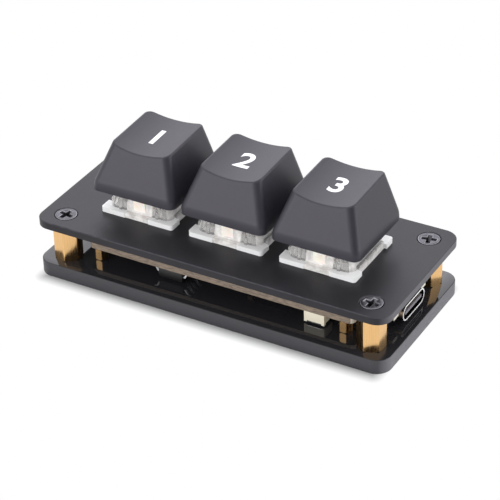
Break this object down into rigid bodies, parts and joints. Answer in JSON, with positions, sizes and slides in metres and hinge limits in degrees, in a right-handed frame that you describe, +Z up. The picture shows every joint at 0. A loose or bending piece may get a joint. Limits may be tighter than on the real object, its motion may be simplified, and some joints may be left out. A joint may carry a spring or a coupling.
{
  "type": "mini keypad",
  "caption": "Small desk keypad: a row of sprung keys on a black plate, over a circuit board between brass standoffs and a glossy base plate, with a USB-C socket at the end.",
  "frame": {"origin": "middle of the underside of the bottom plate", "axes": "+X along the row of keys towards the USB-C socket, +Y towards the rear, +Z up"},
  "size_m": [0.0738, 0.032, 0.0267],
  "materials": {
    "bottom_plate": "black acrylic sheet, polished faces, satin cut edges",
    "top_plate": "satin black anodised sheet",
    "board": "black solder mask over brown laminate",
    "screw": "black plated steel",
    "brass": "bright turned brass",
    "usb_shell": "bright drawn steel",
    "usb_insulator": "dark moulded plastic",
    "contact": "gold flashed copper alloy",
    "chip": "black moulded epoxy",
    "lead": "bright tin plated",
    "crystal": "plated metal can",
    "capacitor": "fired tan body with tinned ends",
    "resistor": "black glazed body with tinned ends",
    "boot_base": "cream moulded plastic",
    "boot_button": "cream moulded plastic",
    "lower_housing": "white moulded plastic, slight sheen",
    "upper_housing": "clear moulded plastic",
    "light_guide": "pale milky moulded plastic",
    "key_led": "white moulded plastic",
    "stem": "red-brown moulded plastic",
    "spring": "bright drawn wire",
    "keycap": "charcoal moulded plastic, fine matte texture"
  },
  "bodies": {
    "chassis": {"board_posts": "brass", "boot_switch_base": "boot_base", "boot_switch_cover": "lead", "bottom_plate": "bottom_plate", "bottom_screws": "screw", "capacitors": "capacitor", "circuit_board": "board", "contacts_left": "contact", "contacts_middle": "contact", "contacts_right": "contact", "controller_chip": "chip", "controller_pads": "lead", "crystal": "crystal", "flash_chip": "chip", "flash_chip_leads": "lead", "key_led_left": "key_led", "key_led_middle": "key_led", "key_led_right": "key_led", "light_guide_left": "light_guide", "light_guide_middle": "light_guide", "light_guide_right": "light_guide", "lower_housing_left": "lower_housing", "lower_housing_middle": "lower_housing", "lower_housing_right": "lower_housing", "regulator": "chip", "regulator_leads": "lead", "resistors": "resistor", "spring_left": "spring", "spring_middle": "spring", "spring_right": "spring", "standoff_front_left": "brass", "standoff_front_right": "brass", "standoff_rear_left": "brass", "standoff_rear_right": "brass", "top_plate": "top_plate", "top_screws": "screw", "upper_housing_left": "upper_housing", "upper_housing_middle": "upper_housing", "upper_housing_right": "upper_housing", "usb_contacts": "contact", "usb_insulator": "usb_insulator", "usb_shell": "usb_shell"},
    "key_left": {"keycap_left": "keycap", "stem_left": "stem"},
    "key_middle": {"keycap_middle": "keycap", "stem_middle": "stem"},
    "key_right": {"keycap_right": "keycap", "stem_right": "stem"},
    "boot_button": {"boot_button": "boot_button"}
  },
  "joints": [
    {"name": "key_left_press", "type": "slide", "parent": "chassis", "child": "key_left", "axis": [0, 0, -1], "range_m": [0, 0.004], "stiffness_N_per_m": 50, "springref_m": -0.008, "deforming": ["spring_left"]},
    {"name": "key_middle_press", "type": "slide", "parent": "chassis", "child": "key_middle", "axis": [0, 0, -1], "range_m": [0, 0.004], "stiffness_N_per_m": 50, "springref_m": -0.008, "deforming": ["spring_middle"]},
    {"name": "key_right_press", "type": "slide", "parent": "chassis", "child": "key_right", "axis": [0, 0, -1], "range_m": [0, 0.004], "stiffness_N_per_m": 50, "springref_m": -0.008, "deforming": ["spring_right"]},
    {"name": "boot_button_press", "type": "slide", "parent": "chassis", "child": "boot_button", "axis": [0, 0, 1], "range_m": [0, 0.0002], "stiffness_N_per_m": 4000, "springref_m": -0.0002}
  ]
}
